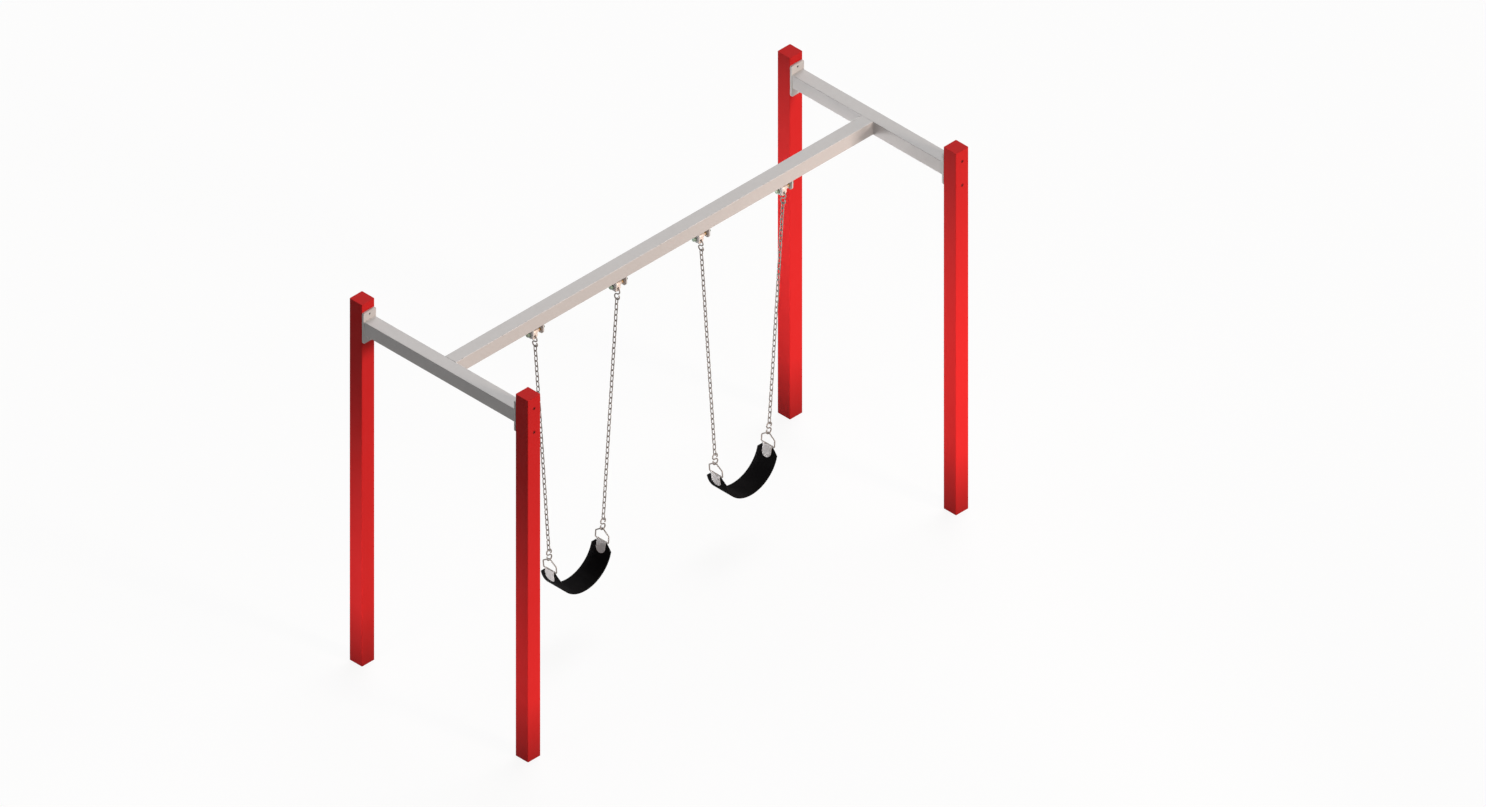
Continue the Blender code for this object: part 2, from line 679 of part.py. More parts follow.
def make_belt(shop, place, centre, seat):
    angles = belt_angles()
    outer = [on_arc(BELT_RADIUS + BELT_THICK / 2, a) for a in angles]
    inner = [on_arc(BELT_RADIUS - BELT_THICK / 2, a) for a in angles]
    belt = outline(shop, [outer + inner[::-1]], BELT_WIDTH)
    half = BELT_WIDTH / 2
    end = BELT_END_WIDTH / 2
    chamfer = half - end
    low = -BELT_RADIUS - BELT_THICK
    top = -BELT_END_DROP + chamfer
    wide = half + OVER
    slope = [(end - chamfer, top), (-end + chamfer, top), (-wide, top + end - chamfer - wide)]
    shape = slope + [(-wide, low), (wide, low), (wide, top + end - chamfer - wide)]
    tongue = outline(shop, [shape], 2 * (BELT_RADIUS + BELT_THICK))
    combine(shop, belt, "INTERSECT", [(tongue, centre, FACING_X)])
    reach = BELT_THICK
    radius = bore(RIVET / 2, RIVET_SIDES)
    profile = [(0, reach), (radius, reach), (radius, -reach), (0, -reach)]
    holes = rivet_tools(shop, centre, -1, profile) + rivet_tools(shop, centre, 1, profile)
    combine(shop, belt, "DIFFERENCE", holes)
    local = (0, 0, centre[2] - TILT_HEIGHT)
    shop.finish(belt, "seat_belt_" + place, shop.rubber, local, ALONG_Y, seat)


def make_clamp(shop, number, centre, side, seat):
    """A strap down the outside of the belt, over the bar and down the inside, with its rivets."""
    angles = [0] + [BELT_END + i * CLAMP_STEP for i in range(CLAMP_STEPS + 1)]
    near = BELT_THICK / 2 + GAP
    far = near + CLAMP_THICK
    bar = (BELT_RADIUS, 0)
    shape = [on_arc(BELT_RADIUS + far, a) for a in reversed(angles[1:])]
    shape += arc(bar, far, 0, math.pi, WRAP_STEPS)
    shape += [on_arc(BELT_RADIUS - far, a) for a in angles[1:]]
    shape += [on_arc(BELT_RADIUS - near, a) for a in reversed(angles[1:])]
    shape += arc(bar, near, math.pi, 0, WRAP_STEPS)
    shape += [on_arc(BELT_RADIUS + near, a) for a in angles[1:]]
    clamp = outline(shop, [[(side * x, z) for x, z in shape]], CLAMP_WIDTH)
    half = CLAMP_WIDTH / 2
    low = -(BELT_RADIUS - far) * math.sin(CLAMP_END)
    corners = [(-half, low), (half, low), (half, 2 * OVER), (-half, 2 * OVER)]
    round_end = fillet(corners, [half, half, 0, 0], 2 * CORNER_STEPS)
    tongue = outline(shop, [round_end], 2 * SEAT_SPAN)
    combine(shop, clamp, "INTERSECT", [(tongue, centre, FACING_X)])
    wide = WINDOW_WIDTH / 2
    pane = [(-wide, WINDOW_FLOOR), (wide, WINDOW_FLOOR), (wide, 2 * OVER), (-wide, 2 * OVER)]
    window = outline(shop, [pane], 2 * SEAT_SPAN)
    combine(shop, clamp, "DIFFERENCE", [(window, centre, FACING_X)])
    shank = RIVET / 2
    head = RIVET_HEAD / 2
    bite = far - CLAMP_THICK / 2
    end = far + RIVET_HEAD_THICK
    profile = [(0, end), (head, end), (head, bite), (shank, bite)]
    profile += [(shank, -bite), (head, -bite), (head, -end), (0, -end)]
    combine(shop, clamp, "UNION", rivet_tools(shop, centre, side, profile))
    local = (0, 0, centre[2] - TILT_HEIGHT)
    shop.finish(clamp, f"seat_clamp_{number}", shop.clamp, local, ALONG_Y, seat)


def make_swing(shop, place, middle, first):
    """One swing: two hangers, two chains and a seat. Hangers are numbered from the left."""
    pivot = shop.pivot(place + "_swing_pivot", (middle, 0, PIVOT_HEIGHT))
    seat = shop.pivot(place + "_seat_pivot", (0, 0, TILT_HEIGHT - PIVOT_HEIGHT), parent=pivot)
    centre = (middle, 0, SEAT_HEIGHT)
    make_belt(shop, place, centre, seat)
    for number, side in ((first, -1), (first + 1, 1)):
        x = side * HANGER_SPACING / 2
        lean = side * LEAN
        make_bracket(shop, number, middle + x)
        make_hanger_bolt(shop, number, middle + x)
        make_swivel(shop, number, x, pivot)
        top = (x, 0, HANG_HEIGHT - PIVOT_HEIGHT)
        line = shop.pivot(f"hang_line_{number}", top, (0, lean, 0), pivot)
        make_hook(shop, f"upper_hook_{number}", True, 0, line)
        make_chain(shop, number, line)
        make_hook(shop, f"lower_hook_{number}", False, LOWER_HOOK_TOP, line)
        ring_x = x - side * TILT_DROP * math.sin(LEAN)
        make_ring(shop, number, ring_x, lean, seat)
        make_clamp(shop, number, centre, side, seat)


def main():
    clear_scene()
    shop = Shop()
    make_posts(shop)
    make_end_rails(shop)
    make_beam(shop)
    make_swing(shop, "left", -HANGER_SPACING, 1)
    make_swing(shop, "right", HANGER_SPACING, 3)


main()
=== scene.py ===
"""The look of the swing frame: wire, chain, hardware, belts and surfaces over the fixed frame.

Sizes are in metres. X runs along the main beam, -Y is the front and Z is up. What hangs on a
chain lies along its hang line, which leans out to the hanger above it.
"""

import json
import math

import bmesh
import bpy
from mathutils import Matrix, Vector

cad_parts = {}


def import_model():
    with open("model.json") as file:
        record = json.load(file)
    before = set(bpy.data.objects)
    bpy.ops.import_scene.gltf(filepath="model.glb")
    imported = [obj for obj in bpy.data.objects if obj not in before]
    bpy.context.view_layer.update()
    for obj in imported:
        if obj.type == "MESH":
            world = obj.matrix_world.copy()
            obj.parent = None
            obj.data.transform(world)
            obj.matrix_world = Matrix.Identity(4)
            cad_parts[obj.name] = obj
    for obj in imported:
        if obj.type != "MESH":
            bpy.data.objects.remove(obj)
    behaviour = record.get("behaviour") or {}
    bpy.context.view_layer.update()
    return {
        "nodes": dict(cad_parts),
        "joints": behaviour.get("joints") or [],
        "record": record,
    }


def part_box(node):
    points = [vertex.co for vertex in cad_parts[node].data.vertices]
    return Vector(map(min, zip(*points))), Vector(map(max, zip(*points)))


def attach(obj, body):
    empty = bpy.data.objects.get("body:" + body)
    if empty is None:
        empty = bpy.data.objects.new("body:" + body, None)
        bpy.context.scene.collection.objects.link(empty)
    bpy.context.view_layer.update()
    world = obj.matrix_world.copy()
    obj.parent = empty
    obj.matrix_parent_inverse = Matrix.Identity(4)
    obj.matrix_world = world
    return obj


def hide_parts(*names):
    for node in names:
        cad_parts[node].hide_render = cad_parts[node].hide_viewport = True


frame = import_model()
nodes = frame["nodes"]

# Hangers from left to right, two for the left swing and two for the right.
HANGERS = (1, 2, 3, 4)
LEFT_HANGERS = (1, 2)
SIDES = ("left", "right")
CORNERS = ("left_front", "left_rear", "right_front", "right_rear")

X = Vector((1, 0, 0))
Y = Vector((0, 1, 0))
Z = Vector((0, 0, 1))

# The gap between pieces that touch, how far a head sinks into what it bears on, and the smallest
# step, which keeps faces and corners from falling together.
GAP = 0.0003
HEAD_SINK = 0.0002
HAIR = 0.0001

# Chain links, hooks and rings of round wire.
LINK_COUNT = 40
LINK_PITCH = 0.03695
LINK_WIRE = 0.006
LINK_WIDTH = 0.025
HOOK_WIRE = 0.008
HOOK_LOOP = 0.037
HOOK_SWEEP = math.radians(315)
RING_WIRE = 0.008
RING_WIDTH = 0.112
RING_HEIGHT = 0.0805
RING_SLOPE = math.radians(36)
RING_CORNER = 0.008
RING_TOP_RADIUS = (HOOK_WIRE + RING_WIRE) / 2 + GAP

# Belts and the clamps at their ends.
SEAT_SPAN = 0.414
SEAT_RADIUS = SEAT_SPAN / 2
BELT_THICK = 0.008
BELT_WIDTH = 0.154
BELT_END_WIDTH = 0.084
BELT_END_DROP = 0.009
BELT_EDGE = 0.0022
CLAMP_WIDTH = 0.070
CLAMP_THICK = 0.0025
CLAMP_LENGTH = 0.080
CLAMP_TIP_WIDTH = 0.007
CLAMP_EDGE = 0.0007
WINDOW_WIDTH = 0.058
WINDOW_FLOOR = 0.002
RIVET_HEAD = 0.010
RIVET_HEIGHT = 0.0008
RIVET_ROOT = 0.0006
RIVET_SPREAD = 0.040
RIVET_ROWS = (0.018, 0.053)

# Brackets under the beam.
LUG_INNER = 0.036
LUG_OUTER = 0.046
LUG_WIDTH = 0.064
LUG_DROP = 0.075
LUG_CORNER = 0.020
WEB_THICK = 0.008
WEB_CORNER = 0.001
BRACKET_EDGE = 0.0008

# Hanger bolts with their nuts and washers.
PIN = 0.016
HEX_SIZE = 0.024
HEX_CHAMFER = 0.0016
HEX_SLOPE = math.radians(30)
HEAD_THICK = 0.010
NUT_THICK = 0.016
PIN_TAIL = 0.009
THREAD_PITCH = 0.002
THREAD_DEPTH = 0.0011
THREAD_CREST = 0.0002
THREAD_IN_NUT = 0.002
WASHER_SIZE = 0.034
WASHER_THICK = 0.004
WASHER_EDGE = 0.0005

# Bushes and swivels.
BUSH_SIZE = 0.0206
BUSH_FLANGE = 0.025
BUSH_FLANGE_THICK = 0.011
BUSH_EDGE = 0.0004
BARREL_SIZE = 0.0292
BARREL_EDGE = 0.001
SWIVEL_WIDTH = 0.041
SWIVEL_THICK = 0.010
SWIVEL_EDGE = 0.0012
SWIVEL_LAP = 0.0005
EYE_DROP = 0.032
EYE_SIZE = 0.0142

# Bolts through the posts.
POST_WALL = 0.005
RAIL_BOLT = 0.012
RAIL_BOLT_HEAD = 0.022
RAIL_BOLT_HEAD_THICK = 0.0036
RAIL_BOLT_EDGE = 0.0003
RAIL_BOLT_CONE = 0.003
RAIL_BOLT_SOCKET = 0.010
RAIL_BOLT_CHAMFER = 0.001

# Screws under the beam. The round of a head is given as steps in from its side and back from its
# face, and the socket as its radius at each depth.
SCREW = 0.012
SCREW_TIP = (0.0008, 0.001)
SCREW_HEAD = 0.021
SCREW_HEAD_THICK = 0.008
SCREW_HEAD_EDGE = 0.0006
SCREW_HEAD_ROUND = ((0, 0.003), (0.001, 0.0008), (0.003, 0))
SCREW_SOCKET = ((0.006, 0), (0.0055, 0.004), (0, 0.0045))

# Tubes, and the weld beads where they meet the end plates.
TUBE_SIZE = 0.090
TUBE_CORNER = 0.003
PLATE_THICK = 0.012
WELD_BEAD = 0.005

# How finely shapes are drawn: steps round circles and bends, rows and columns of sheets, and the
# distance below which corners become one.
ROUND_STEPS = 48
HOLE_STEPS = 32
RIVET_STEPS = 24
DOME_STEPS = 6
HOOK_STEPS = 40
LINK_STEPS = 8
RING_CORNER_STEPS = 8
LUG_CORNER_STEPS = 10
SWIVEL_END_STEPS = 16
TUBE_CORNER_STEPS = 4
WIRE_FINENESS = 4
SHEET_EDGE_FINENESS = 2
SKIN_EDGE_STEPS = 3
BELT_COLUMNS = 24
BELT_ROWS = 72
BELT_CORNER_ROWS = 6
CLAMP_ROWS = 30
FOLD_ROWS = 12
WINDOW_COLUMNS = 8
MERGE_TURNED = 0.00001
MERGE_MESH = 0.000001

# Degrees between faces up to which an edge is drawn smooth, and from which a sheet's is rounded.
SMOOTH_ANGLE = 35
SMOOTH_PIN = 30
SMOOTH_SKIN = 40
SKIN_EDGE_ANGLE = 60

# Light: the world, two suns and four soft boxes. A sun has its place, its width in degrees, its
# power and its colour. A soft box has its place, its aim, its size, its spread in degrees, its
# power and its colour.
AMBIENT = 0.17
WHITE = (1.0, 1.0, 1.0)
PLAIN = (1.0, 0.98, 0.98)
WARM = (1.0, 0.84, 0.74)
SUNS = {
    "high_light": ((4.65, 1.85, 8.66), 36, 1.98, WHITE),
    "front_light": ((1.87, -9.64, 1.91), 12, 2.74, WARM),
}
SOFT_BOXES = {
    "low_box": ((-1.5, -6.0, 0.3), (-1.5, 0, 0.3), 1.0, 44, 8.0, WARM),
    "middle_box": ((-0.1, -6.0, 0.9), (1.7, 0, 0.9), 1.2, 44, 15.9, WARM),
    "left_box": ((-8.5, 0.6, 0.5), (-1.7, 0.2, 0.5), 1.0, 26, 11.0, PLAIN),
    "rear_box": ((-1.6, 1.8, 1.0), (1.7, 0.2, 1.4), 1.0, 50, 10.5, PLAIN),
}

# Floor: its size, its height, its paint, its share of plain white, and how much light it throws up.
FLOOR_SIZE = 80
FLOOR_HEIGHT = -0.0005
FLOOR_PAINT = 0.86
FLOOR_WHITE = 0.90
FLOOR_BOUNCE = 0.38

# Camera: one picture pixel is this long in the plane across the view.
PIXEL = 0.00565685
PICTURE_WIDTH = 1486
VIEW_TURN = math.radians(-45)
VIEW_RISE = math.radians(35.264)
VIEW_CENTRE = Vector((0.336, -0.336, 1.2495))
VIEW_DISTANCE = 15
VIEW_REACH = 100


def hang_line(number):
    """A hanger's line: the ways up it and across it, and the middles of its two hooks."""
    upper = middle_of(f"upper_hook_{number}")
    lower = middle_of(f"lower_hook_{number}")
    up = (upper - lower).normalized()
    return up, Y.cross(up).normalized(), upper, lower


def middle_of(node):
    """The middle of a node's box."""
    low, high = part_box(node)
    return (low + high) / 2


def body_with(node):
    """The body that a node moves with."""
    for name, members in frame["record"]["behaviour"]["bodies"].items():
        if node in members:
            return name
    raise KeyError(node)


# Curves and meshes that the pieces are made from.


def arc(centre, radius, start, end, steps):
    """Points along an arc, with both of its ends."""
    angles = [start + (end - start) * i / steps for i in range(steps + 1)]
    return [(centre[0] + radius * math.cos(a), centre[1] + radius * math.sin(a)) for a in angles]


def circle(radius, steps=ROUND_STEPS, centre=(0, 0)):
    """Points once round a circle, with no point twice."""
    return arc(centre, radius, 0, 2 * math.pi * (steps - 1) / steps, steps - 1)


def fillet(corners, radii, steps):
    """Rounds the corners of a convex outline that runs anticlockwise."""
    points = []
    for i, (corner, radius) in enumerate(zip(corners, radii)):
        here = Vector(corner)
        before = (Vector(corners[i - 1]) - here).normalized()
        after = (Vector(corners[(i + 1) % len(corners)]) - here).normalized()
        if radius == 0:
            points.append(tuple(here))
            continue
        half = before.angle(after) / 2
        centre = here + (before + after).normalized() * radius / math.sin(half)
        toe = here + before * radius / math.tan(half) - centre
        first = math.atan2(toe.y, toe.x)
        points += arc(centre, radius, first, first + math.pi - 2 * half, steps)
    return points


def rectangle(width, low, high):
    """Corners anticlockwise, with the width centred and the height from low to high."""
    return [(-width / 2, low), (width / 2, low), (width / 2, high), (-width / 2, high)]


def hexagon(size):
    """A hexagon's corners, from its size across the flats."""
    radius = size / math.sqrt(3)
    turns = [math.radians(60 * i) for i in range(6)]
    return [(radius * math.cos(t), radius * math.sin(t)) for t in turns]


def wire(name, paths, diameter, closed):
    """Round wire along paths of three-dimensional points."""
    curve = bpy.data.curves.new(name, "CURVE")
    curve.dimensions = "3D"
    curve.bevel_depth = diameter / 2
    curve.bevel_resolution = WIRE_FINENESS
    curve.use_fill_caps = True
    for path in paths:
        spline = curve.splines.new("POLY")
        spline.points.add(len(path) - 1)
        for point, place in zip(spline.points, path):
            point.co = (*place, 1)
        spline.use_cyclic_u = closed
    return shown(bpy.data.objects.new(name, curve))


def sheet_metal(name, loops, thickness, edge):
    """A flat outline with rounded edges, in its own XY plane, thickened to both sides."""
    curve = bpy.data.curves.new(name, "CURVE")
    curve.dimensions = "2D"
    curve.fill_mode = "BOTH"
    curve.extrude = thickness / 2 - edge
    curve.bevel_depth = edge
    curve.bevel_resolution = SHEET_EDGE_FINENESS
    curve.offset = -edge
    for loop in loops:
        spline = curve.splines.new("POLY")
        spline.points.add(len(loop) - 1)
        for point, (x, y) in zip(spline.points, loop):
            point.co = (x, y, 0, 1)
        spline.use_cyclic_u = True
    return as_mesh(shown(bpy.data.objects.new(name, curve)))


def turned(name, profile, closed=False, steps=ROUND_STEPS):
    """A profile of (radius, height) points turned round its own Z axis."""
    mesh = bpy.data.meshes.new(name)
    count = len(profile)
    edges = [(i, (i + 1) % count) for i in range(count if closed else count - 1)]
    mesh.from_pydata([(radius, 0, height) for radius, height in profile], edges, [])
    item = shown(bpy.data.objects.new(name, mesh))
    screw = item.modifiers.new("turn", "SCREW")
    screw.steps = steps
    screw.render_steps = steps
    screw.use_merge_vertices = True
    screw.merge_threshold = MERGE_TURNED
    return as_mesh(item)


def hexagon_prism(name, low, high):
    """A hexagonal head or nut along Z, its corners turned off at both ends."""
    shape = bmesh.new()
    length = high - low
    radius = HEX_SIZE / math.sqrt(3)
    bmesh.ops.create_cone(
        shape, cap_ends=True, segments=6, radius1=radius, radius2=radius, depth=length
    )
    mesh = bpy.data.meshes.new(name)
    shape.to_mesh(mesh)
    shape.free()
    item = shown(bpy.data.objects.new(name, mesh))
    drop = HEX_CHAMFER * math.tan(HEX_SLOPE)
    inner = radius - HEX_CHAMFER
    outer = radius + HEX_CHAMFER
    half = length / 2
    profile = [(0, half), (inner, half), (outer, half - 2 * drop)]
    profile += [(outer, 2 * drop - half), (inner, -half), (0, -half)]
    cutter = turned(name + "_turning", profile)
    trim = item.modifiers.new("turned_ends", "BOOLEAN")
    trim.operation = "INTERSECT"
    trim.object = cutter
    item = as_mesh(item)
    bpy.data.objects.remove(cutter)
    item.data.transform(Matrix.Translation((0, 0, (low + high) / 2)))
    return item


def shown(item):
    """Links an item into the scene, and gives it back."""
    bpy.context.scene.collection.objects.link(item)
    return item


def smooth(item, angle):
    """Smooth shading, apart from edges that are sharper than an angle."""
    item.data.shade_smooth()
    item.data.set_sharp_from_angle(angle=math.radians(angle))
    return item


def as_mesh(item, angle=SMOOTH_ANGLE):
    """The mesh that an object's curve and modifiers make, welded and smooth up to an angle."""
    bpy.context.view_layer.update()
    graph = bpy.context.evaluated_depsgraph_get()
    mesh = bpy.data.meshes.new_from_object(item.evaluated_get(graph))
    shape = bmesh.new()
    shape.from_mesh(mesh)
    bmesh.ops.remove_doubles(shape, verts=shape.verts, dist=MERGE_MESH)
    shape.to_mesh(mesh)
    shape.free()
    name = item.name
    bpy.data.objects.remove(item, do_unlink=True)
    result = shown(bpy.data.objects.new(name, mesh))
    mesh.name = name
    return smooth(result, angle)


def join(name, items, angle=SMOOTH_ANGLE):
    """Several mesh objects made one, in the frame's own axes."""
    shape = bmesh.new()
    for item in items:
        item.data.transform(item.matrix_basis)
        shape.from_mesh(item.data)
        bpy.data.objects.remove(item, do_unlink=True)
    mesh = bpy.data.meshes.new(name)
    shape.to_mesh(mesh)
    shape.free()
    return smooth(shown(bpy.data.objects.new(name, mesh)), angle)


def put(item, matrix):
    """Places an item, and gives it back."""
    item.matrix_basis = matrix
    return item


def axes(origin, x, y, z):
    """A placement from an origin and three axes."""
    matrix = Matrix((x, y, z)).transposed().to_4x4()
    matrix.translation = origin
    return matrix


def finish_piece(item, material, node, *replaced):
    """Gives a piece its material, its body and the nodes that it stands for."""
    item.data.materials.clear()
    item.data.materials.append(material)
    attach(item, body_with(node))
    if replaced:
        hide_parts(*replaced)


# Materials. A noise stays within its span nearly everywhere.

NOISE_ROUGHNESS = 0.55
NOISE_SPAN = (0.3, 0.7)


class Surface:
    """A Principled material with room for noise in its colour, roughness and bump."""

    def __init__(self, name, colour, roughness, metallic=0.0):
        self.material = bpy.data.materials.new(name)
        self.material.use_nodes = True
        self.nodes = self.material.node_tree.nodes
        self.links = self.material.node_tree.links
        self.shader = self.nodes["Principled BSDF"]
        self.colour = colour
        self.shader.inputs["Base Color"].default_value = (*colour, 1)
        self.shader.inputs["Roughness"].default_value = roughness
        self.shader.inputs["Metallic"].default_value = metallic
        self.place = self.nodes.new("ShaderNodeTexCoord").outputs["Object"]

    def set(self, socket, value):
        self.shader.inputs[socket].default_value = value

    def noise(self, scale, detail=3.0, stretch=(1, 1, 1)):
        """Noise over the object, drawn out along an axis whose factor is below 1."""
        stretched = self.nodes.new("ShaderNodeMapping")
        stretched.inputs["Scale"].default_value = stretch
        self.links.new(self.place, stretched.inputs["Vector"])
        texture = self.nodes.new("ShaderNodeTexNoise")
        texture.inputs["Scale"].default_value = scale
        texture.inputs["Detail"].default_value = detail
        texture.inputs["Roughness"].default_value = NOISE_ROUGHNESS
        self.links.new(stretched.outputs["Vector"], texture.inputs["Vector"])
        return texture.outputs["Fac"]

    def cells(self, scale):
        """A level of its own for each cell of a mosaic over the object."""
        texture = self.nodes.new("ShaderNodeTexVoronoi")
        texture.inputs["Scale"].default_value = scale
        self.links.new(self.place, texture.inputs["Vector"])
        level = self.nodes.new("ShaderNodeSeparateColor")
        self.links.new(texture.outputs["Color"], level.inputs["Color"])
        return level.outputs["Red"]

    def along(self, axis):
        """The distance along one of the object's own axes."""
        split = self.nodes.new("ShaderNodeSeparateXYZ")
        self.links.new(self.place, split.inputs["Vector"])
        return split.outputs[axis]

    def ranged(self, value, span, target):
        """Maps a span of values to another one, and holds what lies outside at its ends."""
        mapped = self.nodes.new("ShaderNodeMapRange")
        mapped.inputs["From Min"].default_value = span[0]
        mapped.inputs["From Max"].default_value = span[1]
        mapped.inputs["To Min"].default_value = target[0]
        mapped.inputs["To Max"].default_value = target[1]
        self.links.new(value, mapped.inputs["Value"])
        return mapped.outputs["Result"]

    def tint(self, amount, other):
        """Mixes another colour into the base colour by an amount from 0 to 1."""
        mix = self.nodes.new("ShaderNodeMix")
        mix.data_type = "RGBA"
        base = self.shader.inputs["Base Color"]
        if base.links:
            self.links.new(base.links[0].from_socket, mix.inputs["A"])
        else:
            mix.inputs["A"].default_value = (*self.colour, 1)
        mix.inputs["B"].default_value = (*other, 1)
        self.links.new(amount, mix.inputs["Factor"])
        self.links.new(mix.outputs["Result"], base)

    def patches(self, colour, amount, scale, span, detail=3.0, stretch=(1, 1, 1)):
        """Patches of a colour, which grow from nothing to their amount over a span of the noise."""
        spread = self.noise(scale, detail, stretch)
        self.tint(self.ranged(spread, span, (0.0, amount)), colour)

    def rough(self, value):
        self.links.new(value, self.shader.inputs["Roughness"])

    def uneven(self, scale, low, high):
        """Roughness that wanders between two values."""
        self.rough(self.ranged(self.noise(scale), NOISE_SPAN, (low, high)))

    def relief(self, strength, depth, scale, detail=3.0, stretch=(1, 1, 1)):
        """Fine relief from noise, on top of any that is there."""
        height = self.noise(scale, detail, stretch)
        bump = self.nodes.new("ShaderNodeBump")
        bump.inputs["Strength"].default_value = strength
        bump.inputs["Distance"].default_value = depth
        normal = self.shader.inputs["Normal"]
        if normal.links:
            self.links.new(normal.links[0].from_socket, bump.inputs["Normal"])
        self.links.new(height, bump.inputs["Height"])
        self.links.new(bump.outputs["Normal"], normal)


def shade(colour, factor):
    return tuple(channel * factor for channel in colour)


RED = (0.50, 0.0145, 0.0150)
RED_FLECK = (0.60, 0.03, 0.03)
STEEL = (0.500, 0.489, 0.485)
STEEL_STAIN = (0.44, 0.41, 0.39)
CHAIN_STEEL = (0.228, 0.205, 0.191)
CLAMP_STEEL = (0.47, 0.456, 0.456)
SWIVEL_STEEL = (0.80, 0.68, 0.60)
WELD_STEEL = (0.42, 0.40, 0.385)
GREEN_ZINC = (0.20, 0.29, 0.235)
BLUE_ZINC = (0.28, 0.36, 0.36)
ZINC_STAIN = (0.30, 0.29, 0.19)
BRONZE = (0.70, 0.44, 0.18)
RUBBER = (0.0055, 0.0052, 0.0055)
RUBBER_SCUFF = (0.014, 0.0135, 0.014)
RUBBER_FLECK = (0.025, 0.025, 0.025)
# Near-black bolt steel: painted shade for the sockets and the bolt ends.
SOCKET_SHADE = (0.02, 0.018, 0.018)
DARK_STAIN = (0.07, 0.06, 0.055)
# Painted shade low on the posts: the height where it starts and how dark it gets at the ground.
PAINTED_SHADE_HEIGHT = 0.40
PAINTED_SHADE_AMOUNT = 0.75
SPANGLE = 70.0


def red_paint():
    """Powder coat: a fine orange peel, slight unevenness, and painted shade that darkens the posts
    towards the ground.
    """
    look = Surface("red_paint", RED, roughness=0.45)
    look.patches(shade(RED, 0.80), amount=0.14, scale=2.2, span=(0.40, 0.75))
    look.patches(RED_FLECK, amount=0.08, scale=60.0, span=(0.60, 0.80))
    # Painted shade: the red darkens towards the ground, in place of light that falls off near the
    # floor.
    painted_shade = look.ranged(look.along("Z"), span=(PAINTED_SHADE_HEIGHT, 0.0), target=(0.0, PAINTED_SHADE_AMOUNT))
    look.tint(painted_shade, shade(RED, 0.35))
    look.uneven(scale=9.0, low=0.40, high=0.52)
    look.relief(strength=0.06, depth=0.0006, scale=420.0, detail=2.0)
    look.set("Specular IOR Level", 0.05)
    return look.material


def galvanised():
    """Dipped tube: faint spangle, cloudy patches and a dull, slightly rough skin."""
    look = Surface("galvanised_tube", STEEL, roughness=0.50, metallic=0.10)
    spangle = look.ranged(look.cells(SPANGLE), span=(0.0, 1.0), target=(0.0, 0.12))
    look.tint(spangle, shade(STEEL, 0.90))
    look.patches(shade(STEEL, 1.06), amount=0.25, scale=3.0, span=(0.35, 0.70))
    look.patches(STEEL_STAIN, amount=0.12, scale=24.0, span=(0.62, 0.80))
    look.rough(look.ranged(look.cells(SPANGLE), span=(0.0, 1.0), target=(0.50, 0.60)))
    look.relief(strength=0.08, depth=0.0006, scale=160.0)
    look.set("Specular IOR Level", 0.25)
    return look.material


def worn_steel(name, colour, roughness, metallic, grain=700.0):
    """Plated wire or pressings: darker in patches, and lighter in small flecks."""
    look = Surface(name, colour, roughness, metallic)
    look.patches(shade(colour, 0.62), amount=0.45, scale=90.0, span=(0.45, 0.75))
    look.patches(shade(colour, 1.25), amount=0.30, scale=grain, span=(0.60, 0.80))
    look.uneven(scale=grain / 3, low=roughness - 0.08, high=roughness + 0.10)
    look.relief(strength=0.06, depth=0.0003, scale=grain)
    return look.material


def plated(name, colour, roughness):
    """Passivated zinc, with its faint change of hue."""
    look = Surface(name, colour, roughness, metallic=0.75)
    look.patches(ZINC_STAIN, amount=0.5, scale=45.0, span=(0.40, 0.70))
    look.uneven(scale=300.0, low=roughness - 0.06, high=roughness + 0.08)
    look.relief(strength=0.06, depth=0.0003, scale=500.0)
    return look.material


def rubber():
    """Moulded belt: a fine pebbled skin, dull all over and lightly scuffed in long patches."""
    look = Surface("black_rubber", RUBBER, roughness=0.80)
    long_patches = {"scale": 16.0, "span": (0.45, 0.80), "detail": 4.0, "stretch": (1, 0.25, 1)}
    look.patches(RUBBER_SCUFF, amount=0.40, **long_patches)
    look.patches(RUBBER_FLECK, amount=0.25, scale=240.0, span=(0.62, 0.80))
    look.uneven(scale=30.0, low=0.76, high=0.90)
    look.relief(strength=0.16, depth=0.0007, scale=650.0, detail=2.0)
    look.relief(strength=0.08, depth=0.0010, scale=90.0, detail=2.0, stretch=(1, 0.2, 1))
    look.set("Specular IOR Level", 0.02)
    return look.material


def weld():
    """A rippled bead of bare weld."""
    look = Surface("weld_bead", WELD_STEEL, roughness=0.50, metallic=0.5)
    look.relief(strength=0.55, depth=0.0015, scale=260.0)
    look.uneven(scale=120.0, low=0.40, high=0.62)
    return look.material


def socket_painted_shade():
    """The bolt's steel, painted near-black as the shade of its socket and of its end against the
    plate.
    """
    look = Surface("socket_painted_shade", SOCKET_SHADE, roughness=0.6, metallic=0.2)
    look.patches(DARK_STAIN, amount=0.4, scale=300.0, span=(0.5, 0.8))
    return look.material


MATERIALS = {
    "red": red_paint(),
    "tube": galvanised(),
    "wire": worn_steel("wire_steel", CHAIN_STEEL, roughness=0.52, metallic=0.75),
    "clamp": worn_steel("clamp_steel", CLAMP_STEEL, roughness=0.55, metallic=0.25, grain=500.0),
    "swivel": worn_steel("swivel_steel", SWIVEL_STEEL, roughness=0.38, metallic=0.45),
    "green": plated("green_zinc", GREEN_ZINC, roughness=0.38),
    "blue": plated("blue_zinc", BLUE_ZINC, roughness=0.34),
    "bronze": worn_steel("bronze_bush", BRONZE, roughness=0.32, metallic=0.9),
    "rubber": rubber(),
    "weld": weld(),
    "dark": socket_painted_shade(),
}


# Frame: the posts, caps, rails and beam keep their CAD shapes and only get a surface.


